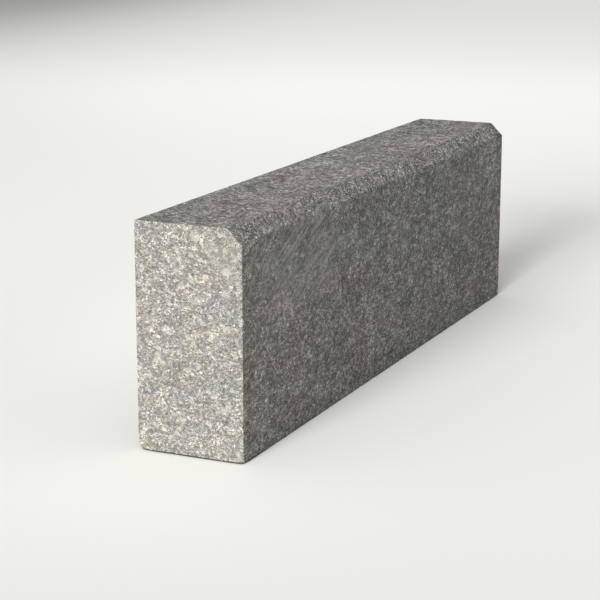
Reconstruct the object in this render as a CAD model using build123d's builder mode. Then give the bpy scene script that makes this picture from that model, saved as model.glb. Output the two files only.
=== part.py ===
"""Granite kerb stone: one sawn block of granite with one bevelled long edge.

The stone lies as it is laid: it stands on its narrow bed face, the long bevelled arris
is at the top of the road-side face. It is a single piece of rock, so it is one solid.

Frame: origin at the middle of the bed (bottom) face, +X along the stone, +Z up.
The road-side (bevelled) face looks towards -Y, the footway-side face towards +Y.
All sizes are in millimetres.
"""

from build123d import *
import os

# ---------------------------------------------------------------- driving sizes
LENGTH = 1000.0        # along the road, end joint to end joint
THICKNESS = 150.0      # road-side face to footway-side face
HEIGHT = 300.0         # bed to top (wearing) face
BEVEL = 20.0           # leg of the 45 degree bevel, on the top face and on the road-side face
BEVEL_EASE = 3.0       # radius that softens the two long arrises of the bevel
ARRIS = 1.0            # radius of every other worn, slightly broken arris

half_t = THICKNESS / 2

# ---------------------------------------------------------------- the stone
with BuildPart() as kerb_stone:
    # Cross-section, seen along +X: a rectangle with its road-side top corner cut at
    # 45 degrees. The plane's x direction is +Y and its y direction is +Z.
    with BuildSketch(Plane(origin=(-LENGTH / 2, 0, 0), x_dir=(0, 1, 0), z_dir=(1, 0, 0))):
        with BuildLine():
            Polyline(
                (-half_t, 0),
                (half_t, 0),
                (half_t, HEIGHT),
                (-half_t + BEVEL, HEIGHT),
                (-half_t, HEIGHT - BEVEL),
                close=True,
            )
        make_face()
    extrude(amount=LENGTH)

    # The two long arrises of the bevel are rubbed down a little more than the others.
    long_edges = kerb_stone.edges().filter_by(Axis.X)
    bevel_edges = [
        e
        for e in long_edges
        if (abs(e.center().Z - HEIGHT) < 0.01 and abs(e.center().Y - (-half_t + BEVEL)) < 0.01)
        or (abs(e.center().Z - (HEIGHT - BEVEL)) < 0.01 and abs(e.center().Y + half_t) < 0.01)
    ]
    fillet(bevel_edges, radius=BEVEL_EASE)

    # Every other sawn arris is only just broken: the three plain long ones ...
    plain_long = [
        e
        for e in kerb_stone.edges().filter_by(Axis.X)
        if (abs(e.center().Z) < 0.01 or abs(e.center().Z - HEIGHT) < 0.01)
        and abs(abs(e.center().Y) - half_t) < 0.01
    ]
    fillet(plain_long, radius=ARRIS)

    # ... and the outline of each sawn end.
    for x_end in (-LENGTH / 2, LENGTH / 2):
        outline = [
            e for e in kerb_stone.edges() if abs(e.bounding_box().min.X - x_end) < 0.01
            and abs(e.bounding_box().max.X - x_end) < 0.01
        ]
        fillet(outline, radius=ARRIS)

kerb_stone.part.label = "kerb_stone"

# ---------------------------------------------------------------- write the piece
os.makedirs("parts", exist_ok=True)
export_step(kerb_stone.part, "parts/kerb_stone.step")

size = kerb_stone.part.bounding_box().size
print(
    "kerb_stone",
    [round(v, 3) for v in (size.X, size.Y, size.Z)],
    "mm, volume",
    round(kerb_stone.part.volume / 1e6, 3),
    "litres",
)
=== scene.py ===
"""The finished look of a granite kerb stone: one sawn block, 1000 x 150 x 300 mm, with a 20 mm bevel along the top
of its road face.

The block is one closed mesh. Its faces undulate a little, its arrises are softened, wavy and chipped, and its bevel is
rough. Its granite is a node material in object coordinates: a fine speckle of grey, cream and pink grains, larger pale
crystals, clouds of tint, dust on the worn arrises and saw scratches on the road face.

All lengths here are in millimetres until the mesh is made. The axes are the row frame: X along the stone with its near
end at -X, -Y the road face, +Z up, and the origin in the middle of the bed.
"""

import math

import bpy
import numpy as np
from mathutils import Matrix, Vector


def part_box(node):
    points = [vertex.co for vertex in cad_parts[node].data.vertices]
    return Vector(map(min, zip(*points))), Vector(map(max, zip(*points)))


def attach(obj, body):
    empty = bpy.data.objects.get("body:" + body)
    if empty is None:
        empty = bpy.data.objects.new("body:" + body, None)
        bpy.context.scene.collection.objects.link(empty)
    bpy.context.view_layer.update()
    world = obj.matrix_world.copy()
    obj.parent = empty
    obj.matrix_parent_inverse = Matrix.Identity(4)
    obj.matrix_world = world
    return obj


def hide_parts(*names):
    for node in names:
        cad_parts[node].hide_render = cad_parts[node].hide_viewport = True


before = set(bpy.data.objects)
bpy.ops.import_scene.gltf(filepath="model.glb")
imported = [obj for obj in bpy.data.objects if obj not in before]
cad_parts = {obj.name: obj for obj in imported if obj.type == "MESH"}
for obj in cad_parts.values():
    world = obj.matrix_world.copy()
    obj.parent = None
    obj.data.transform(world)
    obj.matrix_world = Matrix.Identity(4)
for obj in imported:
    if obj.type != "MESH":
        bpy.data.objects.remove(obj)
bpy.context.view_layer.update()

# ---------------------------------------------------------------------------------------------------------------------
# Sizes

LO, HI = (np.array(v) * 1000 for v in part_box("kerb_stone"))
X0, X1 = LO[0], HI[0]  # near end, far end
Y0, Y1 = LO[1], HI[1]  # road face, footway face
Z0, Z1 = LO[2], HI[2]  # bed, top
BEVEL = 20.0
HALF = math.sqrt(0.5)
BEVEL_LENGTH = BEVEL * math.sqrt(2)

BED, TOP, ROAD, FOOTWAY, NEAR, FAR, SLOPE = range(7)
NORMALS = np.array(
    [
        (0, 0, -1),
        (0, 0, 1),
        (0, -1, 0),
        (0, 1, 0),
        (-1, 0, 0),
        (1, 0, 0),
        (0, -HALF, HALF),
    ],
    float,
)
OFFSETS = np.array(
    [-Z0, Z1, -Y0, Y1, -X0, X1, HALF * (Z1 - BEVEL - Y0)],
    float,
)


# ---------------------------------------------------------------------------------------------------------------------
# Noise for the mesh, the same on every run


def scatter(ix, iy, iz, seed):
    """A number from 0 to 1 for each cell of a cubic grid."""
    with np.errstate(over="ignore"):
        h = (
            ix.astype(np.uint32) * np.uint32(0x8DA6B343)
            ^ iy.astype(np.uint32) * np.uint32(0xD8163841)
            ^ iz.astype(np.uint32) * np.uint32(0xCB1AB31F)
            ^ np.uint32((seed * 0x9E3779B1) & 0xFFFFFFFF)
        )
        h ^= h >> np.uint32(15)
        h *= np.uint32(0x2C1B3C6D)
        h ^= h >> np.uint32(12)
        h *= np.uint32(0x297A2D39)
        h ^= h >> np.uint32(15)
    return h.astype(float) / 4294967295.0


def clouds(p, size, seed):
    """Smooth noise from -1 to 1 with blobs of about that size."""
    q = p / size + 512.0
    i = np.floor(q).astype(np.int64)
    f = q - i
    u = f * f * f * (f * (f * 6 - 15) + 10)
    total = np.zeros(len(p))
    for dx in (0, 1):
        for dy in (0, 1):
            for dz in (0, 1):
                weight = (
                    (u[:, 0] if dx else 1 - u[:, 0])
                    * (u[:, 1] if dy else 1 - u[:, 1])
                    * (u[:, 2] if dz else 1 - u[:, 2])
                )
                total += weight * scatter(i[:, 0] + dx, i[:, 1] + dy, i[:, 2] + dz, seed)
    return 2 * total - 1


def ramp(x, a, b):
    t = np.clip((x - a) / (b - a), 0, 1)
    return t * t * (3 - 2 * t)


# ---------------------------------------------------------------------------------------------------------------------
# The grid that the block is meshed on: fine at the arrises and over the bevel, coarser in the middle of the faces

FINE, COARSE, GROWTH = 0.6, 1.8, 0.08


def stations(length, focus, count=None, coarse=COARSE, growth=GROWTH):
    """Places along an edge, close together near each focus. Without a count, how many there should be."""
    s = np.linspace(0, length, 6001)
    near = np.min(np.abs(s[:, None] - np.array(focus)[None]), axis=1)
    step = np.minimum(coarse, FINE + growth * near)
    run = np.concatenate([[0], np.cumsum(np.diff(s) * (0.5 / step[1:] + 0.5 / step[:-1]))])
    if count is None:
        return run[-1]
    return np.interp(np.linspace(0, run[-1], count + 1), run, s)


def up_to(n, step):
    return int(math.ceil(n / step) * step)


length, thickness, height = X1 - X0, Y1 - Y0, Z1 - Z0
half_bevel = BEVEL_LENGTH / 2
n_half = int(round(stations(half_bevel, [0], coarse=1.2, growth=0.05)))
road_height = height - BEVEL
top_width = thickness - BEVEL
NX = up_to(stations(length, [0, length]), 4)
NZ = up_to(stations(road_height, [0, road_height]) + n_half, 4)
NY = up_to(stations(top_width, [0, top_width]) + n_half, 4)

xs = X0 + stations(length, [0, length], NX)
half_out = stations(half_bevel, [0], n_half, coarse=1.2, growth=0.05)
road_s = np.concatenate(
    [stations(road_height, [0, road_height], NZ - n_half), road_height + half_out[1:]]
)
top_s = np.concatenate(
    [
        half_bevel - half_out[::-1],
        half_bevel + stations(top_width, [0, top_width], NY - n_half)[1:],
    ]
)
bed_s = stations(thickness, [0, thickness], NY)
back_s = stations(height, [0, height], NZ)

# the outline of the section, as four sides of a grid whose fourth corner is the middle of the bevel
bed_line = np.stack([Y0 + bed_s, np.full(NY + 1, Z0)], 1)
back_line = np.stack([np.full(NZ + 1, Y1), Z0 + back_s], 1)
over = np.maximum(road_s - road_height, 0) * HALF
road_line = np.stack([Y0 + over, Z0 + np.minimum(road_s, road_height) + over], 1)
under = np.maximum(half_bevel - top_s, 0) * HALF
top_line = np.stack(
    [Y0 + BEVEL - under + np.maximum(top_s - half_bevel, 0), Z1 - under], 1
)

u = np.linspace(0, 1, NY + 1)[:, None, None]
v = np.linspace(0, 1, NZ + 1)[None, :, None]
section = (
    (1 - v) * bed_line[:, None]
    + v * top_line[:, None]
    + (1 - u) * road_line[None]
    + u * back_line[None]
    - (1 - u) * (1 - v) * bed_line[0]
    - u * (1 - v) * bed_line[-1]
    - (1 - u) * v * top_line[0]
    - u * v * top_line[-1]
)


def lattice_points(i, j, k):
    yz = section[j, k]
    return np.stack([xs[i], yz[..., 0], yz[..., 1]], -1)


def arris_distance(p, face):
    """How far a point on a face is from the face's nearest arris."""
    inside = OFFSETS - p @ NORMALS.T
    facing = NORMALS @ NORMALS[face]
    turn = np.sqrt(np.maximum(1 - facing**2, 0))
    use = [n for n in range(7) if turn[n] > 0.1]
    return np.min(inside[..., use] / turn[use], axis=-1)


# each side of the grid: its two running indices, and the fixed one
SIDES = {
    BED: lambda a, b: (a, b, np.zeros_like(a)),
    TOP: lambda a, b: (a, b, np.full_like(a, NZ)),
    ROAD: lambda a, b: (a, np.zeros_like(a), b),
    FOOTWAY: lambda a, b: (a, np.full_like(a, NY), b),
    NEAR: lambda a, b: (np.zeros_like(a), a, b),
    FAR: lambda a, b: (np.full_like(a, NX), a, b),
}
SPANS = {
    BED: (NX, NY),
    TOP: (NX, NY),
    ROAD: (NX, NZ),
    FOOTWAY: (NX, NZ),
    NEAR: (NY, NZ),
    FAR: (NY, NZ),
}
HALVE_AT = {4: 9.5, 2: 4.6}  # a cell this large is split where an arris is nearer than this

GAP = 9.0  # between the islands of the map
MAP_SIZE = length + 2 * GAP + 62.0


def map_place(face, a, b):
    """Where a grid point lies in the unrolled map: the girth as one strip, and the two ends in a row above it."""
    i, j, k = SIDES[face](a, b)
    if face in (NEAR, FAR):
        p = lattice_points(i, j, k)
        shift = 0 if face == NEAR else height + GAP
        across = p[..., 2] - Z0 + shift
        up = p[..., 1] - Y0 if face == NEAR else Y1 - p[..., 1]  # neither end is mirrored
        up = up + thickness * 2 + road_height + height + BEVEL_LENGTH - BEVEL + GAP
        return np.stack([across + GAP, up + GAP], -1) / MAP_SIZE
    girth = {
        BED: lambda: thickness - bed_s[j],
        ROAD: lambda: thickness + road_s[k],
        TOP: lambda: thickness + road_height + half_bevel + top_s[j],
        FOOTWAY: lambda: thickness * 2 + road_height + BEVEL_LENGTH - BEVEL + height - back_s[k],
    }[face]()
    return np.stack([xs[i] - X0 + GAP, girth + GAP], -1) / MAP_SIZE


def leaves():
    """The cells of every side, as (face, a, b, size)."""
    out = []
    for face, (na, nb) in SPANS.items():
        a, b = np.meshgrid(np.arange(na + 1), np.arange(nb + 1), indexing="ij")
        p = lattice_points(*SIDES[face](a, b))
        near = arris_distance(p, face)
        if face == ROAD:
            near[:, NZ - n_half :] = 0
        if face == TOP:
            near[:, : n_half + 1] = 0
        stack = [(x, y, 4) for x in range(0, na, 4) for y in range(0, nb, 4)]
        while stack:
            x, y, size = stack.pop()
            if size > 1:
                h = size // 2
                if near[x : x + size + 1, y : y + size + 1].min() < HALVE_AT[size]:
                    stack += [(x, y, h), (x + h, y, h), (x, y + h, h), (x + h, y + h, h)]
                    continue
            out.append((face, x, y, size))
    return out


def mesh_topology():
    """Vertices as grid triples, and polygons with the map place of each corner. A cell with finer neighbours is a fan."""
    cells = leaves()
    step_j, step_i = NZ + 1, (NY + 1) * (NZ + 1)

    def code(face, a, b):
        if face == BED:
            return a * step_i + b * step_j
        if face == TOP:
            return a * step_i + b * step_j + NZ
        if face == ROAD:
            return a * step_i + b
        if face == FOOTWAY:
            return a * step_i + NY * step_j + b
        return (0 if face == NEAR else NX) * step_i + a * step_j + b

    used = set()
    for face, a, b, s in cells:
        used.update(
            (code(face, a, b), code(face, a + s, b), code(face, a, b + s), code(face, a + s, b + s))
        )
    flip = {BED: True, TOP: False, ROAD: False, FOOTWAY: True, NEAR: True, FAR: False}
    number = {}
    polygons, corners = [], {f: [] for f in SPANS}
    order = []

    def at(c):
        if c not in number:
            number[c] = len(number)
        return number[c]

    for face, a, b, s in cells:
        ring = [(a, b)]
        for da, db in ((1, 0), (0, 1), (-1, 0), (0, -1)):
            x, y = ring[-1]
            for n in range(1, s):
                c = code(face, x + da * n, y + db * n)
                if c in used:
                    ring.append((x + da * n, y + db * n))
            ring.append((x + da * s, y + db * s))
            if len(ring) > 1 and ring[-1] == (a, b):
                ring.pop()
        # the walk above starts each side at the last whole corner
        if flip[face]:
            ring = ring[::-1]
        if len(ring) == 4:
            groups = [ring]
        else:
            middle = (a + s // 2, b + s // 2)
            groups = [
                [middle, ring[n], ring[(n + 1) % len(ring)]] for n in range(len(ring))
            ]
        for g in groups:
            polygons.append([at(code(face, x, y)) for x, y in g])
            order.append((face, len(corners[face]), len(g)))
            corners[face] += g
    codes = np.array(sorted(number, key=number.get), np.int64)
    i, rest = np.divmod(codes, step_i)
    j, k = np.divmod(rest, step_j)
    placed = {}
    for face, pairs in corners.items():
        ab = np.array(pairs, np.int64)
        placed[face] = map_place(face, ab[:, 0], ab[:, 1])
    uv = np.concatenate([placed[f][n : n + m] for f, n, m in order])
    return (i, j, k), polygons, uv


# ---------------------------------------------------------------------------------------------------------------------
# The worn shape of the stone


def inner_point(p, depth):
    """The nearest point of the block shrunk by depth, so that the way out of it turns smoothly round an arris."""
    cut = OFFSETS - depth
    y0, y1, z0, z1 = -cut[ROAD], cut[FOOTWAY], -cut[BED], cut[TOP]
    d = cut[SLOPE] / HALF
    ring = np.array([(y0, z0), (y1, z0), (y1, z1), (z1 - d, z1), (y0, d + y0)])
    best = np.full(len(p), 1e9)
    near = p[:, 1:].copy()
    for n in range(5):
        a, e = ring[n], ring[(n + 1) % 5] - ring[n]
        t = np.clip(((p[:, 1:] - a) @ e) / (e @ e), 0, 1)
        q = a + t[:, None] * e
        away = np.linalg.norm(p[:, 1:] - q, axis=1)
        closer = away < best
        best[closer] = away[closer]
        near[closer] = q[closer]
    inside = (
        (p[:, 1] > y0)
        & (p[:, 1] < y1)
        & (p[:, 2] > z0)
        & (p[:, 2] < z1)
        & (p[:, 2] - p[:, 1] < d)
    )
    near[inside] = p[inside, 1:]
    return np.concatenate([np.clip(p[:, :1], -cut[NEAR], cut[FAR]), near], 1)


def chips():
    """Scallops struck out of the arrises: centre, three half axes and their directions."""
    rng = np.random.default_rng(20)
    s = Z1 - BEVEL
    ends = [
        ((Y0, Z0), (Y1, Z0), BED),
        ((Y1, Z0), (Y1, Z1), FOOTWAY),
        ((Y1, Z1), (Y0 + BEVEL, Z1), TOP),
        ((Y0 + BEVEL, Z1), (Y0, s), SLOPE),
        ((Y0, s), (Y0, Z0), ROAD),
    ]
    lines = []
    for x, end in ((X0, NEAR), (X1, FAR)):
        for a, b, face in ends:
            lines.append(((x, *a), (x, *b), face, end, 1.25 if end == NEAR else 1.0))
    for (y, z), f, g, weight in (
        ((Y0, Z0), BED, ROAD, 1.7),
        ((Y1, Z0), BED, FOOTWAY, 1.3),
        ((Y1, Z1), TOP, FOOTWAY, 0.8),
        ((Y0 + BEVEL, Z1), TOP, SLOPE, 0.5),
        ((Y0, s), ROAD, SLOPE, 0.5),
    ):
        lines.append(((X0, y, z), (X1, y, z), f, g, weight))
    out = []
    for a, b, f, g, weight in lines:
        a, b = np.array(a, float), np.array(b, float)
        run = np.linalg.norm(b - a)
        along = (b - a) / run
        out_way = NORMALS[f] + NORMALS[g]
        out_way /= np.linalg.norm(out_way)
        for _ in range(int(run * weight / 13)):
            depth = min(0.25 + rng.exponential(0.62 if f == BED else 0.42), 2.6)
            chord = depth * rng.uniform(2.2, 5.0) + 1.2
            tilt = rng.uniform(-0.5, 0.5)
            o = math.cos(tilt) * out_way + math.sin(tilt) * np.cross(along, out_way)
            skew = rng.uniform(-0.35, 0.35)
            t = math.cos(skew) * along + math.sin(skew) * o
            o2 = o - (o @ t) * t
            o2 /= np.linalg.norm(o2)
            c = np.cross(t, o2)
            a_o = depth * rng.uniform(1.6, 3.2)
            share = math.sqrt(max(1 - (1 - depth / a_o) ** 2, 0.05))
            a_t = chord / 2 / share
            a_c = a_t * rng.uniform(0.55, 1.0)
            centre = a + along * rng.uniform(0, run) + o2 * (a_o - depth)
            out.append((centre, np.array([a_t, a_o, a_c]), np.stack([t, o2, c])))
    # a few larger bruises
    for place, way, axes, depth in (
        ((X0, Y0, 176.0), (-1, -1, 0.2), (9.0, 5.0, 7.0), 0.7),
        ((X0, Y1, 274.0), (-1, 1, 0.1), (10.0, 6.0, 6.0), 1.5),
        ((X0, Y1, 118.0), (-1, 1, 0), (7.0, 5.0, 6.0), 1.9),
        ((X0, Y1, 52.0), (-1, 1, 0.1), (12.0, 6.0, 8.0), 1.7),
        ((X0, 18.0, Z1), (-1, 0, 1), (13.0, 7.0, 8.0), 1.4),
        ((X0, 38.0, Z0), (-1, 0, -1), (8.0, 5.0, 6.0), 1.2),
        ((X0, -22.0, Z0), (-1, 0, -1), (11.0, 6.0, 7.0), 1.6),
        ((X0, -52.0, Z0), (-1, 0, -1), (7.0, 5.0, 5.0), 1.1),
        ((-250.0, Y1, Z1), (0.1, 1, 1), (16.0, 8.0, 9.0), 1.8),
        ((120.0, Y1, Z1), (0, 1, 1.2), (12.0, 7.0, 8.0), 1.3),
        ((-120.0, Y0, Z0), (0, -1, -1), (13.0, 7.0, 8.0), 1.8),
        ((260.0, Y0, Z0), (0, -1, -0.9), (16.0, 7.0, 9.0), 1.5),
        ((X1, Y0, 90.0), (1, -1, 0), (11.0, 6.0, 7.0), 1.6),
        ((X1, Y1, 205.0), (1, 1, 0), (13.0, 7.0, 8.0), 1.9),
        ((60.0, Y1, Z0), (0, 1, -1), (15.0, 8.0, 9.0), 1.9),
        ((X1, 20.0, Z1), (1, 0, 1), (10.0, 6.0, 7.0), 1.3),
    ):
        o = np.array(way, float)
        o /= np.linalg.norm(o)
        side = np.array((1.0, 0, 0)) if abs(o[0]) < 0.5 else np.array((0, 0.3, 1.0))
        t = side - (side @ o) * o
        t /= np.linalg.norm(t)
        centre = np.array(place) + o * (axes[1] - depth)
        out.append((centre, np.array(axes), np.stack([t, o, np.cross(t, o)])))
    return out


def worn(p):
    """Moves the block's ideal surface points onto the real stone's surface. Also gives how much was lost at each."""
    way = p - inner_point(p, 6.0)
    way /= np.linalg.norm(way, axis=1)[:, None]
    d_low = np.hypot(p[:, 1] - Y0, p[:, 2] - (Z1 - BEVEL))
    d_up = np.hypot(p[:, 1] - (Y0 + BEVEL), p[:, 2] - Z1)
    bevelled = np.exp(-((np.minimum(d_low, d_up) / 7.0) ** 2))

    waves = (
        0.16 * (1 + clouds(p * (0.5, 1, 1), 46.0, 1))
        + 0.09 * (1 + clouds(p * (0.7, 1, 1), 15.0, 2))
        + 0.05 * (1 + clouds(p, 6.5, 3))
    )
    ragged = 0.15 * (1 + clouds(p, 9.0, 4)) + 0.14 * (1 + clouds(p, 4.4, 5)) + 0.07 * (1 + clouds(p, 2.3, 6))
    loss = np.zeros((len(p), 7))
    loss[:] = waves[:, None]
    loss[:, BED] *= 0.35
    # the bevel was cut by hand: ragged, and a little full at its far end
    far_end = np.exp(-(((p[:, 0] - X1) / 32.0) ** 2))
    loss[:, SLOPE] += ragged * 1.5 * (1 - 0.5 * far_end) - 0.1 * far_end
    # the ends are sawn across the foliation: flatter, with a slight ripple
    ripple = 0.05 * (1 + np.sin(p[:, 2] / 5.3 + 0.8 * clouds(p, 60.0, 7)))
    loss[:, NEAR] = 0.8 * waves + ripple
    loss[:, FAR] = 0.8 * waves + ripple

    radius = 0.95 + 0.4 * bevelled + 0.35 * clouds(p, 14.0, 8) + 0.2 * clouds(p, 5.0, 9)
    # the bed's arrises are rounder at the near end
    low = np.exp(-(((p[:, 2] - Z0) / 6.0) ** 2))
    radius += low * (0.5 + 1.3 * np.exp(-(((p[:, 0] - X0) / 14.0) ** 2)))
    for corner, more, reach in (
        ((X0, Y1, Z0), 5.0, 10.0),
        ((X0, Y0, Z0), 2.6, 10.0),
        ((X1, Y0, Z0), 1.6, 9.0),
        ((X1, Y0 + BEVEL * 0.4, Z1 - BEVEL * 0.4), 0.5, 9.0),
        ((X1, Y1, Z1), 1.8, 9.0),
        ((X1, Y1, Z0), 2.4, 10.0),
    ):
        away = np.linalg.norm(p - np.array(corner), axis=1)
        radius += more * np.exp(-((away / reach) ** 2))
    radius = np.clip(radius, 0.45, 6.5)

    struck = []
    for centre, axes, turn in chips():
        reach = axes.max() + 3
        which = np.nonzero(np.abs(p - centre).max(axis=1) < reach)[0]
        if len(which):
            rough = 0.22 * clouds(p[which], 2.6, 10) + 0.12 * clouds(p[which], 1.3, 11)
            struck.append((which, centre, axes, turn, rough))

    def field(q):
        plane = q @ NORMALS.T - OFFSETS + loss
        part = np.maximum(plane + radius[:, None], 0)
        f = np.sqrt((part**2).sum(1)) - radius
        f = np.where(part.max(1) > 0, f, plane.max(1))
        for which, centre, axes, turn, rough in struck:
            local = (q[which] - centre) @ turn.T
            k0 = np.linalg.norm(local / axes, axis=1)
            k1 = np.maximum(np.linalg.norm(local / axes**2, axis=1), 1e-6)
            f[which] = np.maximum(f[which], rough - k0 * (k0 - 1) / k1)
        return f

    q = p + way * 0.5
    for _ in range(26):
        q -= way * np.clip(field(q), -1.5, 1.5)[:, None] * 0.85
    lost = ((p - q) * way).sum(1)
    return q, lost


def build_stone():
    (i, j, k), polygons, uv = mesh_topology()
    ideal = lattice_points(i, j, k)
    shape, lost = worn(ideal)
    mesh = bpy.data.meshes.new("kerb_stone_worn")
    mesh.from_pydata((shape / 1000).tolist(), [], polygons)
    mesh.shade_smooth()
    layer = mesh.uv_layers.new(name="OFBake")
    layer.data.foreach_set("uv", uv.astype(np.float32).ravel())

    nearest = np.sort(OFFSETS - ideal @ NORMALS.T, axis=1)[:, 1]
    close = 1 - ramp(nearest, 1.5, 5.0)
    wear = np.clip((lost - 0.45) / 0.9, 0, 1) * close
    attribute = mesh.attributes.new("wear", "FLOAT", "POINT")
    attribute.data.foreach_set("value", wear.astype(np.float32))
    mesh.validate()
    mesh.update()
    stone = bpy.data.objects.new("kerb_stone_granite", mesh)
    bpy.context.scene.collection.objects.link(stone)
    triangles = sum(len(p) - 2 for p in polygons)
    print(f"kerb stone: {len(shape)} vertices, {triangles} triangles, least loss {lost.min():.3f}, most {lost.max():.2f} mm")
    return stone


# ---------------------------------------------------------------------------------------------------------------------
# Node helpers


class Net:
    """Short names for the nodes that a material needs."""

    def __init__(self, tree):
        self.tree = tree
        tree.nodes.clear()

    def put(self, socket, value):
        if isinstance(value, bpy.types.NodeSocket):
            self.tree.links.new(value, socket)
        elif value is not None:
            socket.default_value = value

    def node(self, kind, **settings):
        n = self.tree.nodes.new(kind)
        for name, value in settings.items():
            setattr(n, name, value)
        return n

    def math(self, operation, a, b=None, c=None, clamp=False):
        n = self.node("ShaderNodeMath", operation=operation, use_clamp=clamp)
        for socket, value in zip(n.inputs, (a, b, c)):
            self.put(socket, value)
        return n.outputs[0]

    def add(self, *values):
        total = values[0]
        for v in values[1:]:
            total = self.math("ADD", total, v)
        return total

    def times(self, *values):
        total = values[0]
        for v in values[1:]:
            total = self.math("MULTIPLY", total, v)
        return total

    def vector(self, operation, a, b=None, c=None):
        n = self.node("ShaderNodeVectorMath", operation=operation)
        for socket, value in zip(n.inputs, (a, b, c)):
            self.put(socket, value)
        return n.outputs["Value" if operation in ("LENGTH", "DOT_PRODUCT") else "Vector"]

    def span(self, value, a, b, c=0.0, d=1.0, smooth=True):
        n = self.node("ShaderNodeMapRange", interpolation_type="SMOOTHSTEP" if smooth else "LINEAR")
        for name, x in (("Value", value), ("From Min", a), ("From Max", b), ("To Min", c), ("To Max", d)):
            self.put(n.inputs[name], x)
        return n.outputs["Result"]

    def noise(self, vector, size, detail=0.0, rough=0.5, output="Fac"):
        n = self.node("ShaderNodeTexNoise", noise_dimensions="3D")
        self.put(n.inputs["Vector"], vector)
        n.inputs["Scale"].default_value = 1.0 / size
        n.inputs["Detail"].default_value = detail
        n.inputs["Roughness"].default_value = rough
        return n.outputs[output]

    def cells(self, vector, size, feature="F1"):
        n = self.node("ShaderNodeTexVoronoi", voronoi_dimensions="3D", feature=feature)
        self.put(n.inputs["Vector"], vector)
        n.inputs["Scale"].default_value = 1.0 / size
        return n

    def parts(self, color):
        n = self.node("ShaderNodeSeparateColor")
        self.put(n.inputs[0], color)
        return n.outputs

    def xyz(self, vector):
        n = self.node("ShaderNodeSeparateXYZ")
        self.put(n.inputs[0], vector)
        return n.outputs

    def join(self, x, y, z):
        n = self.node("ShaderNodeCombineXYZ")
        for socket, value in zip(n.inputs, (x, y, z)):
            self.put(socket, value)
        return n.outputs[0]

    def mix(self, share, a, b, blend="MIX"):
        n = self.node("ShaderNodeMix", data_type="RGBA", blend_type=blend)
        self.put(n.inputs["Factor"], share)
        for socket, value in ((n.inputs[6], a), (n.inputs[7], b)):
            if isinstance(value, tuple):
                value = (*value, 1.0)[:4]
            self.put(socket, value)
        return n.outputs[2]

    def steps(self, value, stops, interpolation="LINEAR"):
        n = self.node("ShaderNodeValToRGB")
        n.color_ramp.interpolation = interpolation
        elements = n.color_ramp.elements
        while len(elements) < len(stops):
            elements.new(0.5)
        for e, (at, colour) in zip(elements, stops):
            e.position = at
            e.color = (*colour, 1.0)
        self.put(n.inputs["Fac"], value)
        return n.outputs["Color"]


# ---------------------------------------------------------------------------------------------------------------------
# Granite


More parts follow.
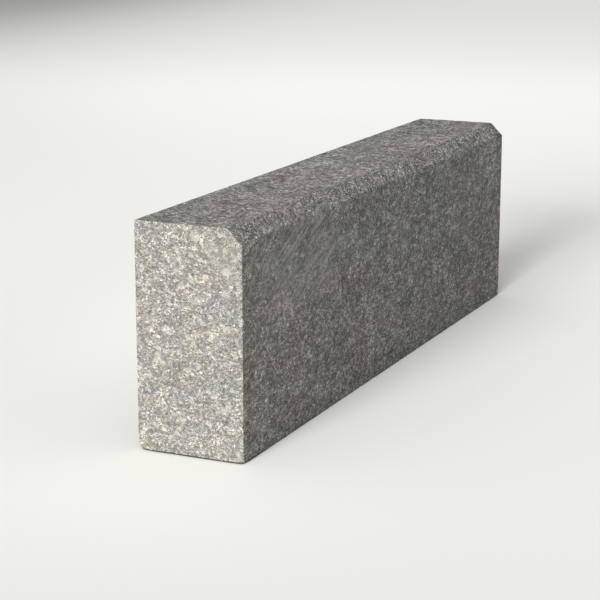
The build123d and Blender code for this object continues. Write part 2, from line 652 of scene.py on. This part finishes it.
def granite():
    material = bpy.data.materials.new("granite_sawn")
    material.use_nodes = True
    net = Net(material.node_tree)
    out = net.node("ShaderNodeOutputMaterial")
    shader = net.node("ShaderNodeBsdfPrincipled")
    net.tree.links.new(shader.outputs["BSDF"], out.inputs["Surface"])

    place = net.node("ShaderNodeTexCoord").outputs["Object"]
    mm = net.vector("MULTIPLY", place, (1000.0, 1000.0, 1000.0))
    x, y, z = net.xyz(mm)

    # grains are longer along the stone, and rise a little towards its far end
    upper = net.times(net.span(z, 297.4, 298.8), net.span(net.math("ABSOLUTE", x), 498.8, 497.6))
    turned = net.node("ShaderNodeMapping", vector_type="TEXTURE")
    net.put(turned.inputs["Vector"], net.join(x, net.times(y, net.math("MULTIPLY_ADD", upper, -0.13, 1.0)), z))
    turned.inputs["Rotation"].default_value = (math.radians(6), math.radians(-7), math.radians(4))
    turned.inputs["Scale"].default_value = (1.35, 1.17, 0.86)
    lie = turned.outputs["Vector"]
    half = (0.5, 0.5, 0.5)
    drift = net.vector("SUBTRACT", net.noise(lie, 2.6, 1.0, 0.5, "Color"), half)
    bent = net.vector("MULTIPLY_ADD", drift, (2.2, 2.2, 2.2), lie)
    drift = net.vector("SUBTRACT", net.noise(lie, 1.2, 0.0, 0.5, "Color"), half)
    bent = net.vector("MULTIPLY_ADD", drift, (1.2, 1.2, 1.2), bent)

    fine = net.parts(net.cells(bent, 1.55).outputs["Color"])
    mid = net.parts(net.cells(bent, 2.9).outputs["Color"])
    large = net.cells(bent, 9.5)
    large_colour = net.parts(large.outputs["Color"])
    dust = net.noise(lie, 0.9, 1.0, 0.6)
    cloud_5 = net.noise(lie, 5.5, 1.0, 0.5)
    cloud_14 = net.noise(lie, 14.0, 1.0, 0.5)
    cloud_50 = net.noise(mm, 52.0, 2.0, 0.5)

    # which face: 1 on the long upright faces and the bed, 0 on the ends, and the bevel on its own
    ends = net.span(net.math("ABSOLUTE", x), 497.6, 498.8)
    long_face = net.math("SUBTRACT", 1.0, ends)
    upright = net.times(net.span(net.math("ABSOLUTE", y), 72.4, 73.9), net.math("SUBTRACT", 1.0, ends))
    sloped = net.span(net.math("SUBTRACT", z, y), 353.2, 354.8)
    calm = net.math("MAXIMUM", upper, net.times(upright, 0.6))

    # where the stone was rubbed smoother: below the bevel at the near end, and under the scratches of the road face
    def patch(centre, reach, near=1.15, far=0.35):
        away = net.vector("MULTIPLY", net.vector("SUBTRACT", mm, centre), tuple(1 / v for v in reach))
        return net.span(net.vector("LENGTH", away), near, far)

    on_road = net.span(y, -54.0, -57.0)
    rubbed = net.times(patch((-318.0, -75.0, 230.0), (150.0, 60.0, 72.0), 1.1, 0.5), on_road)
    smooth = net.math("MAXIMUM", net.times(rubbed, 0.26), net.times(patch((X0, -46.0, 262.0), (30.0, 30.0, 40.0)), ends, 0.38))

    # thin curled threads of quartz and of mica run between the grains
    def threads(size, width, offset, group, low, high):
        moved = net.vector("ADD", bent, (offset, offset * 0.7, -offset))
        off_line = net.math("ABSOLUTE", net.math("SUBTRACT", net.noise(moved, size, 1.0, 0.4), 0.5))
        return net.times(net.span(off_line, 0.012, width, 1.0, 0.0), net.span(net.noise(moved, group), low, high))

    pale_thread = threads(3.9, 0.062, 31.0, 8.0, 0.44, 0.60)
    dark_thread = threads(4.6, 0.055, 77.0, 11.0, 0.46, 0.62)

    # the bevel is rough from the tool
    pits = net.noise(net.vector("MULTIPLY", mm, (1.1, 0.84, 0.84)), 1.6, 1.0, 0.6)
    curl = net.math("ABSOLUTE", net.math("SUBTRACT", net.noise(net.vector("MULTIPLY_ADD", drift, (3.0, 3.0, 3.0), mm), 4.4, 1.0, 0.5), 0.5))
    grit = net.add(net.span(curl, 0.0, 0.085, 0.13, -0.06), pits)

    tone = net.add(
        # on the bevel the grit also sets the tone, its low spots darker and its high spots paler: painted shade and
        # light of its relief
        net.times(net.math("MULTIPLY_ADD", grit, 4.5, -2.25), sloped),
        net.times(fine[0], net.add(0.40, net.times(upper, 0.04), net.times(sloped, -0.14))),
        net.times(mid[0], net.add(0.25, net.times(upper, 0.15), net.times(sloped, -0.14))),
        net.times(dust, 0.24),
        net.times(cloud_5, net.add(0.30, net.times(upper, -0.04), net.times(sloped, net.span(x, 100.0, 300.0, -0.17, 0.10)))),
        net.times(cloud_14, net.add(0.24, net.times(long_face, 0.10), net.times(sloped, -0.14))),
        net.times(sloped, net.span(x, 100.0, 300.0, 0.25, 0.13)),
        net.times(cloud_50, net.math("MULTIPLY_ADD", long_face, 0.13, 0.13)),
        net.times(long_face, -0.115),
        net.times(upper, net.span(x, -100.0, 60.0, -0.075, -0.085)),
        net.times(ends, net.span(net.math("ABSOLUTE", net.math("SUBTRACT", z, 150.0)), 30.0, 100.0, -0.024, 0.0)),
        net.times(ends, net.span(z, 190.0, 240.0, 0.0, -0.012)),
        net.times(pale_thread, net.math("MULTIPLY_ADD", calm, -0.13, 0.24)),
        net.times(dark_thread, net.math("MULTIPLY_ADD", upper, -0.10, -0.14)),
    )
    contrast = net.add(net.math("SUBTRACT", 1.07, smooth), net.times(ends, 0.035), net.times(upper, net.span(x, -220.0, -60.0, 0.14, 0.22)), net.times(upper, net.span(x, 0.0, 300.0, 0.0, 0.09)), net.times(sloped, net.span(x, -150.0, 250.0, 0.06, 0.36)), net.times(upright, net.span(x, -350.0, -150.0, -0.01, 0.06)), net.times(upright, net.span(z, 110.0, 190.0, 0.02, -0.07)))
    tone = net.math("MULTIPLY_ADD", net.math("SUBTRACT", tone, 0.77), contrast, 0.77)
    colour = net.steps(
        net.span(tone, 0.30, 1.30, 0.0, 1.0, smooth=False),
        [
            (0.02, (0.078, 0.074, 0.066)),
            (0.25, (0.122, 0.115, 0.104)),
            (0.45, (0.166, 0.158, 0.144)),
            (0.62, (0.245, 0.234, 0.214)),
            (0.76, (0.364, 0.350, 0.324)),
            (0.95, (0.525, 0.512, 0.480)),
        ],
    )

    # pale crystals a few millimetres across, hazy at their edges
    crystal = net.times(
        net.span(large_colour[0], 0.66, 0.80),
        net.span(large.outputs["Distance"], 0.52, 0.16),
        net.math("MULTIPLY_ADD", dust, 0.9, 0.15),
    )
    colour = net.mix(
        net.times(crystal, net.math("MULTIPLY_ADD", net.math("MAXIMUM", upper, sloped), -0.36, net.math("MULTIPLY_ADD", ends, 0.07, 0.66))),
        colour,
        net.mix(large_colour[1], (0.460, 0.443, 0.382), (0.455, 0.416, 0.370)),
    )
    # a few larger ones in the sawn ends
    block = net.cells(bent, 31.0)
    block_colour = net.parts(block.outputs["Color"])
    block = net.times(
        net.span(block_colour[0], 0.42, 0.56),
        net.span(block.outputs["Distance"], 0.26, 0.11),
        net.math("MULTIPLY_ADD", dust, 0.7, 0.25),
        ends,
    )
    colour = net.mix(net.times(block, 0.58), colour, net.mix(block_colour[1], (0.535, 0.522, 0.455), (0.520, 0.485, 0.430)))
    # dark mica
    mica = net.times(net.span(fine[1], 0.90, 0.93), net.span(mid[2], 0.35, 0.5))
    colour = net.mix(net.times(mica, 0.75), colour, (0.056, 0.055, 0.055))

    # a few bright flakes, longer than wide
    def flakes(size, turn, keep):
        laid = net.node("ShaderNodeMapping", vector_type="TEXTURE")
        net.put(laid.inputs["Vector"], bent)
        laid.inputs["Rotation"].default_value = tuple(math.radians(v) for v in turn)
        laid.inputs["Scale"].default_value = (1.0, 2.5, 1.0)
        fleck = net.cells(laid.outputs["Vector"], size)
        chosen = net.span(net.parts(fleck.outputs["Color"])[0], keep, keep + 0.03)
        return net.times(chosen, net.span(fleck.outputs["Distance"], 0.17, 0.08))

    flake = net.math("MAXIMUM", flakes(5.2, (-28, 0, 0), 0.85), flakes(5.6, (35, 10, 50), 0.87))
    flake_share = net.times(net.math("MULTIPLY_ADD", net.math("MAXIMUM", calm, sloped), -0.62, 0.77), net.math("SUBTRACT", 1.0, smooth))
    colour = net.mix(net.times(flake, flake_share), colour, (0.70, 0.69, 0.655))

    # the bevel's broken grains: painted shade in the pits between them, and painted highlights on a few fresh faces
    # that catch the light
    speck = net.noise(mm, 2.5, 0.0)
    group = net.noise(mm, 13.0, 1.0, 0.5)
    painted_pit_shade = net.times(net.span(speck, 0.37, 0.30), net.span(group, 0.62, 0.44), sloped)
    colour = net.mix(net.times(painted_pit_shade, 0.80), colour, (0.055, 0.053, 0.050))
    painted_glint = net.times(net.span(speck, 0.64, 0.70), net.span(group, 0.46, 0.62), sloped)
    colour = net.mix(net.times(painted_glint, 0.70), colour, (0.62, 0.61, 0.575))

    # hazy stains of peach, straw and slate
    tint = net.parts(net.noise(lie, 14.0, 1.0, 0.5, "Color"))
    wide = net.parts(net.noise(net.vector("MULTIPLY", mm, (0.62, 1.0, 1.0)), 46.0, 1.0, 0.5, "Color"))
    peach = net.span(tint[0], 0.42, 0.72)
    straw = net.span(tint[1], 0.45, 0.72)
    slate = net.span(tint[2], 0.45, 0.72)
    brown = net.times(net.span(wide[0], 0.38, 0.68, -0.75, 1.25), net.add(0.018, net.times(long_face, 0.014), net.times(upper, -0.006)))
    khaki = net.times(net.span(wide[1], 0.36, 0.66, -1.0, 1.0), net.math("MULTIPLY_ADD", long_face, 0.004, 0.014))
    far_calm = net.times(upright, net.span(x, -150.0, 150.0, 0.0, 0.28))
    peach = net.times(peach, net.math("SUBTRACT", net.math("MULTIPLY_ADD", long_face, -0.60, 1.0), far_calm))
    straw = net.times(straw, net.math("MULTIPLY_ADD", long_face, -0.75, 1.0))
    slate = net.times(slate, net.math("SUBTRACT", net.math("MULTIPLY_ADD", long_face, -0.02, 0.40), far_calm))
    red = net.add(
        0.994,
        net.times(peach, 0.040),
        net.times(slate, -0.020),
        brown,
        net.times(long_face, -0.008),
        net.times(ends, net.add(net.span(z, 150.0, 230.0, 0.0, 0.008), net.span(y, -30.0, -60.0, 0.0, -0.012))),
        net.times(upright, on_road, net.span(z, 150.0, 210.0, 0.0, -0.028), net.span(x, 250.0, 50.0)),
        net.times(upright, net.span(z, 220.0, 180.0, 0.0, 0.022), net.span(x, 270.0, 360.0)),
        net.times(upright, net.span(z, 45.0, 20.0, 0.0, -0.016)),
        net.times(upper, net.span(y, -5.0, 25.0), net.span(x, -100.0, 100.0, -0.012, -0.026)),
        net.times(sloped, net.add(net.span(x, -440.0, -400.0, 0.0, -0.034), net.span(x, -240.0, -180.0, 0.0, 0.034))),
        net.times(upper, net.add(net.span(x, -400.0, -150.0, 0.013, -0.002), net.span(x, 0.0, 300.0, 0.0, 0.012))),
        net.times(net.span(x, -200.0, 180.0, 0.014, -0.018), upright),
        net.times(sloped, net.add(net.span(x, -480.0, -230.0, -0.052, 0.001), net.span(x, 0.0, 300.0, 0.0, 0.008))),
    )
    blue = net.add(
        1.026,
        net.times(peach, -0.045),
        net.times(straw, -0.060),
        net.times(slate, 0.014),
        net.times(brown, -0.3),
        net.times(khaki, -1.0),
        net.times(upright, net.span(x, -100.0, 200.0, 0.005, -0.012)),
        net.times(upper, -0.005),
        net.times(sloped, net.span(x, -400.0, -250.0, -0.007, -0.026)),
    )
    grey = net.vector("DOT_PRODUCT", colour, (0.30, 0.55, 0.15))
    colour = net.mix(1.0, colour, net.join(red, 1.0, blue), "MULTIPLY")

    # dust and fresh stone on the worn arrises
    wear = net.node("ShaderNodeAttribute", attribute_type="GEOMETRY", attribute_name="wear").outputs["Fac"]
    worn_share = net.times(
        wear,
        net.span(net.noise(mm, 2.4, 1.0, 0.6), 0.42, 0.62),
        net.math("MULTIPLY_ADD", long_face, -0.18, 0.34),
    )
    colour = net.mix(worn_share, colour, (0.36, 0.35, 0.325))
    grey = net.math("MULTIPLY_ADD", worn_share, net.math("SUBTRACT", 0.35, grey), grey)

    # saw scratches over the near part of the road face and its bevel, rising towards the far end
    angle = math.radians(26)
    along = net.add(net.times(x, math.cos(angle)), net.times(z, math.sin(angle)))
    across = net.add(net.times(x, -math.sin(angle)), net.times(z, math.cos(angle)))

    def scratches(length, width, low, high, centre, reach, shift):
        lines = net.noise(
            net.join(net.math("MULTIPLY_ADD", along, 1 / length, shift), net.times(across, 1 / width), 0.0), 1.0, 1.0, 0.5
        )
        ex = net.math("MULTIPLY_ADD", x, 1 / reach[0], -centre[0] / reach[0])
        ez = net.math("MULTIPLY_ADD", z, 1 / reach[1], -centre[1] / reach[1])
        spread = net.math("SQRT", net.add(net.times(ex, ex), net.times(ez, ez)))
        return net.times(net.span(lines, low, high), net.span(spread, 1.1, 0.5), on_road)

    def nick(x_a, z_a, x_b, z_b, share):
        """One thin mark of the road face, from a to b."""
        length = math.hypot(x_b - x_a, z_b - z_a)
        ux, uz = (x_b - x_a) / length, (z_b - z_a) / length
        run = net.add(net.times(x, ux), net.times(z, uz), -(x_a * ux + z_a * uz))
        off = net.add(net.times(x, -uz), net.times(z, ux), x_a * uz - z_a * ux)
        off = net.math("ABSOLUTE", net.math("MULTIPLY_ADD", net.math("SINE", net.times(run, 0.11)), 0.5, off))
        return net.times(net.span(off, 1.9, 0.7), net.span(run, 0.0, 4.0), net.span(run, length, length - 6.0), share)

    nicks = net.times(
        on_road,
        net.math(
            "MAXIMUM",
            net.math("MAXIMUM", nick(-29.0, 243.0, -8.0, 218.0, 0.90), nick(-11.0, 232.5, 18.5, 212.0, 0.60)),
            net.math("MAXIMUM", nick(18.5, 212.5, -4.0, 206.0, 0.60), nick(89.0, 253.0, 133.0, 238.0, 0.72)),
        ),
    )

    # the long faces are duller than the fresh-sawn ends, their dark grains browner, the road face most of all; painted
    # shade and light also set their level
    stains = net.add(
        net.times(patch((-200.0, 36.0, Z1), (80.0, 34.0, 40.0)), 0.16),
        net.times(patch((-482.0, 52.0, Z1), (48.0, 36.0, 40.0)), 0.17),
        net.times(patch((40.0, -20.0, Z1), (140.0, 34.0, 40.0)), 0.12),
        net.times(patch((468.0, 46.0, Z1), (60.0, 36.0, 40.0)), 0.09),
    )
    level = net.times(
        # painted shade: both upright faces darkened by about a fifth, most at their foot
        net.math("SUBTRACT", 1.0, net.times(upright, net.span(z, 0.0, 260.0, 0.23, 0.175, smooth=False))),
        # painted shade: the long faces darker towards the far end
        net.span(x, -450.0, 450.0, 1.035, 0.90),
        # painted light: the upright faces paler at the near end
        net.math("MULTIPLY_ADD", upright, net.span(x, -460.0, -180.0, 0.035, -0.037), 1.0),
        net.math(
            "MULTIPLY_ADD",
            sloped,
            net.add(
                net.span(x, -480.0, -250.0, -0.13, -0.105),
                net.span(x, -230.0, -110.0, 0.0, -0.15),
                net.span(x, 100.0, 350.0, 0.0, 0.135),
            ),
            1.0,
        ),
        net.math("MULTIPLY_ADD", upper, net.span(x, -350.0, -150.0, -0.03, -0.01), 1.0),
        net.math("MULTIPLY_ADD", net.times(upright, net.span(x, 140.0, 280.0)), net.span(z, 150.0, 210.0, 0.0, 0.085), 1.0),
        net.math("MULTIPLY_ADD", net.times(upright, net.span(x, -395.0, -440.0)), net.span(z, 140.0, 200.0, 0.0, -0.04), 1.0),
        net.math("MULTIPLY_ADD", upper, net.add(net.span(x, -350.0, -150.0, 0.0, 0.045), net.span(x, 50.0, 300.0, 0.0, -0.025)), 1.0),
        # the road face is paler high up on its near half and at its near end, and darker at its foot
        net.math(
            "MULTIPLY_ADD",
            net.times(upright, net.span(x, 100.0, -100.0), net.span(x, -480.0, -430.0)),
            net.span(net.math("ABSOLUTE", net.math("SUBTRACT", z, 205.0)), 25.0, 60.0, 0.10, 0.0),
            1.0,
        ),
        net.math(
            "MULTIPLY_ADD",
            net.times(upright, net.span(x, -420.0, -460.0), net.span(z, 30.0, 70.0)),
            net.span(net.math("ABSOLUTE", net.math("SUBTRACT", z, 120.0)), 40.0, 80.0, 0.09, 0.05),
            1.0,
        ),
        net.math("MULTIPLY_ADD", net.times(upright, net.span(x, 250.0, 100.0)), net.span(z, 45.0, 20.0, 0.0, -0.09), 1.0),
        net.math("MULTIPLY_ADD", sloped, net.add(net.span(x, -120.0, -40.0, 0.0, -0.08), net.span(x, 60.0, 120.0, 0.0, 0.03)), 1.0),
        # a few darker stains on the top
        net.math("SUBTRACT", 1.0, net.times(upper, stains)),
    )
    even = net.math("MAXIMUM", upper, net.times(sloped, 0.7))
    dull_with_painted_shade = net.join(
        *(
            net.times(
                net.math("POWER", grey, net.math("MULTIPLY_ADD", even, -0.25, power)),
                net.math("MULTIPLY_ADD", even, less, gain),
                level,
                hue,
            )
            for power, gain, less, hue in ((1.28, 1.685, -0.573, red), (1.29, 1.610, -0.550, 1.0), (1.33, 1.565, -0.537, blue))
        )
    )
    colour = net.mix(long_face, colour, dull_with_painted_shade)
    # painted shade of a dark facet across the far end of the bevel
    painted_facet_shade = net.times(net.span(net.math("MULTIPLY_ADD", net.noise(mm, 9.0, 2.0, 0.6), 26.0, x), 488.0, 496.0), sloped)
    colour = net.mix(net.times(painted_facet_shade, 0.42), colour, (0.03, 0.031, 0.029))

    scratch = net.math(
        "MAXIMUM",
        net.times(scratches(80.0, 3.9, 0.575, 0.635, (-312.0, 228.0), (150.0, 72.0), 3.0), 0.62),
        net.times(scratches(48.0, 3.0, 0.57, 0.66, (-330.0, 236.0), (200.0, 84.0), 9.0), 0.55),
    )
    scratch = net.math("MAXIMUM", scratch, nicks)
    colour = net.mix(scratch, colour, (0.300, 0.296, 0.282))

    # painted contact shadow: a dark line along the bed's arrises, strongest on the ends and at the near end of the long
    # faces
    painted_contact_shadow = net.span(net.math("MULTIPLY_ADD", net.noise(mm, 7.0, 2.0, 0.6), 2.2, net.math("SUBTRACT", z, 1.1)), 3.1, 2.1)
    painted_contact_shadow = net.times(painted_contact_shadow, net.math("MAXIMUM", net.span(x, -490.0, -380.0, 0.92, 0.30), net.times(ends, 0.92)))
    colour = net.mix(painted_contact_shadow, colour, (0.022, 0.020, 0.017))

    net.put(shader.inputs["Base Color"], colour)
    net.put(
        shader.inputs["Roughness"],
        net.math("SUBTRACT", net.math("MULTIPLY_ADD", fine[2], 0.22, 0.66), net.times(mica, 0.2), clamp=True),
    )
    shader.inputs["IOR"].default_value = 1.5
    shader.inputs["Specular IOR Level"].default_value = 0.1
    shader.inputs["Diffuse Roughness"].default_value = 0.12

    # relief: grain by grain, with pits between them
    relief = net.add(
        net.times(net.noise(lie, 1.5, 2.0, 0.6), 0.42),
        net.times(fine[2], 0.16),
        net.times(net.noise(lie, 5.0, 1.0, 0.5), 0.55),
        net.times(pale_thread, 0.10),
        net.times(scratch, -0.10),
    )
    relief = net.add(net.times(relief, net.math("MULTIPLY_ADD", sloped, 0.9, 1.0)), net.times(grit, sloped, 2.9))
    bump = net.node("ShaderNodeBump")
    bump.inputs["Strength"].default_value = 1.0
    bump.inputs["Distance"].default_value = 0.00045
    net.put(bump.inputs["Height"], relief)
    net.put(shader.inputs["Normal"], bump.outputs["Normal"])
    return material


# ---------------------------------------------------------------------------------------------------------------------
# The stone


stone = build_stone()
stone.data.materials.append(granite())
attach(stone, "root")
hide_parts("kerb_stone")

# ---------------------------------------------------------------------------------------------------------------------
# Floor, light and camera


def studio_floor():
    mesh = bpy.data.meshes.new("studio_floor")
    ring = [(28 * math.cos(a), 28 * math.sin(a), 0.0) for a in np.linspace(0, 2 * math.pi, 65)[:-1]]
    mesh.from_pydata(ring, [], [list(range(64))])
    floor = bpy.data.objects.new("studio_floor", mesh)
    bpy.context.scene.collection.objects.link(floor)
    material = bpy.data.materials.new("floor_paper")
    material.use_nodes = True
    net = Net(material.node_tree)
    out = net.node("ShaderNodeOutputMaterial")
    shader = net.node("ShaderNodeBsdfPrincipled")
    net.tree.links.new(shader.outputs["BSDF"], out.inputs["Surface"])
    # painted light and shade: painted light round the stone and in a band behind it, and painted shade far off at the
    # back on the left
    place = net.node("ShaderNodeTexCoord").outputs["Object"]
    x, y, _ = net.xyz(place)
    reach = net.vector("LENGTH", place)
    bearing = math.radians(21)
    ahead = net.add(net.times(x, math.cos(bearing)), net.times(y, math.sin(bearing)))
    left = net.add(net.times(x, -math.sin(bearing)), net.times(y, math.cos(bearing)))

    def hump(value, centre, width):
        return net.math("POWER", net.math("MULTIPLY_ADD", value, 1 / width, -centre / width), 2.0)

    def spot(amount, *humps):
        return net.math("MULTIPLY_ADD", net.math("EXPONENT", net.times(net.add(*humps), -1.0)), amount, 1.0)

    band = net.math("EXPONENT", net.times(hump(ahead, 3.3, 1.0), -1.0))
    tilt = -0.215
    ahead_t = net.add(net.times(ahead, math.cos(tilt)), net.times(left, math.sin(tilt)))
    left_t = net.add(net.times(ahead, -math.sin(tilt)), net.times(left, math.cos(tilt)))
    centre = (
        8.12 * math.cos(tilt) + 1.96 * math.sin(tilt),
        -8.12 * math.sin(tilt) + 1.96 * math.cos(tilt),
    )
    shade = net.math("EXPONENT", net.times(net.add(hump(ahead_t, centre[0], 6.0), hump(left_t, centre[1], 1.22)), -1.0))
    painted_floor_light = net.times(
        net.add(net.span(reach, 2.0, 8.0, 1.008, 0.833), net.times(band, 0.062)),
        net.math("MULTIPLY_ADD", shade, -0.552, 1.0),
        net.span(ahead, -0.55, -1.0, 1.0, 0.96),
        spot(0.032, hump(ahead, 3.6, 1.6), hump(left, 0.3, 0.9)),
        spot(0.035, hump(x, -0.62, 0.24), hump(y, -0.03, 0.24)),
        spot(0.085, hump(ahead, 0.12, 0.45), hump(left, 0.31, 0.15)),
        spot(-0.065, hump(ahead, 2.3, 1.5), hump(left, 1.35, 0.75)),
    )
    painted_floor_light = net.math("MULTIPLY_ADD", net.span(reach, 8.5, 20.0), net.math("SUBTRACT", 0.86, painted_floor_light), painted_floor_light)
    net.put(shader.inputs["Base Color"], net.mix(1.0, (0.887, 0.898, 0.852), net.join(painted_floor_light, painted_floor_light, painted_floor_light), "MULTIPLY"))
    shader.inputs["Roughness"].default_value = 0.9
    shader.inputs["Specular IOR Level"].default_value = 0.0
    mesh.materials.append(material)
    return floor


def backdrop():
    """A pale dome that the floor runs into. It is only seen: it gives no light and casts no shadow."""
    mesh = bpy.data.meshes.new("studio_backdrop")
    rings, sides = 16, 64
    points = [
        (
            28 * math.cos(up) * math.cos(a),
            28 * math.cos(up) * math.sin(a),
            28 * math.sin(up),
        )
        for up in np.linspace(0, math.radians(86), rings)
        for a in np.linspace(0, 2 * math.pi, sides + 1)[:-1]
    ]
    faces = [
        (n * sides + k, n * sides + (k + 1) % sides, (n + 1) * sides + (k + 1) % sides, (n + 1) * sides + k)
        for n in range(rings - 1)
        for k in range(sides)
    ]
    faces.append(tuple(range((rings - 1) * sides, rings * sides)))
    mesh.from_pydata(points, [], faces)
    mesh.shade_smooth()
    dome = bpy.data.objects.new("studio_backdrop", mesh)
    bpy.context.scene.collection.objects.link(dome)
    for way in ("diffuse", "glossy", "transmission", "volume_scatter", "shadow"):
        setattr(dome, "visible_" + way, False)
    material = bpy.data.materials.new("backdrop_paper")
    material.use_nodes = True
    net = Net(material.node_tree)
    out = net.node("ShaderNodeOutputMaterial")
    glow = net.node("ShaderNodeEmission")
    net.tree.links.new(glow.outputs["Emission"], out.inputs["Surface"])
    height = net.xyz(net.node("ShaderNodeTexCoord").outputs["Object"])[2]
    net.put(glow.inputs["Color"], net.mix(net.span(height, 0.0, 9.0), (0.735, 0.744, 0.704), (0.80, 0.808, 0.775)))
    mesh.materials.append(material)
    return dome


studio_floor()
backdrop()

world = bpy.data.worlds.new("studio")
bpy.context.scene.world = world
world.use_nodes = True
background = world.node_tree.nodes["Background"]
background.inputs["Color"].default_value = (1.005, 0.995, 1.01, 1)
background.inputs["Strength"].default_value = 0.51


def key_light(name, energy, bearing, lift, angle):
    """A soft light far off, its bearing turned from -X towards +Y."""
    light = bpy.data.lights.new(name, "SUN")
    light.energy = energy
    light.angle = math.radians(angle)
    light.color = (1.0, 0.995, 0.975)
    light_object = bpy.data.objects.new(name, light)
    bpy.context.scene.collection.objects.link(light_object)
    bearing, lift = math.radians(bearing), math.radians(lift)
    toward = Vector((-math.cos(lift) * math.cos(bearing), math.cos(lift) * math.sin(bearing), math.sin(lift)))
    light_object.rotation_mode = "QUATERNION"
    light_object.rotation_quaternion = toward.to_track_quat("Z", "Y")


# a wide, low softbox facing the near end
key_light("key_left", 1.95, 6.0, 14.4, 16.0)
key_light("key_middle", 1.95, -0.7, 14.4, 16.0)
key_light("key_right", 1.95, -7.4, 14.4, 16.0)

camera = bpy.data.cameras.new("camera")
camera.sensor_width = 36.0
camera.sensor_fit = "HORIZONTAL"
camera.lens = 107.47
camera.clip_start = 0.05
camera.clip_end = 100.0
camera_object = bpy.data.objects.new("camera", camera)
bpy.context.scene.collection.objects.link(camera_object)
yaw, pitch = math.radians(24.525), math.radians(-13.698)
look = Vector((math.cos(pitch) * math.cos(yaw), math.cos(pitch) * math.sin(yaw), math.sin(pitch)))
camera_object.location = (-2.39938, -1.01881, 0.72916)
camera_object.rotation_mode = "QUATERNION"
camera_object.rotation_quaternion = look.to_track_quat("-Z", "Y")
bpy.context.scene.camera = camera_object

bpy.context.scene.view_settings.view_transform = "Standard"
bpy.context.scene.view_settings.look = "None"
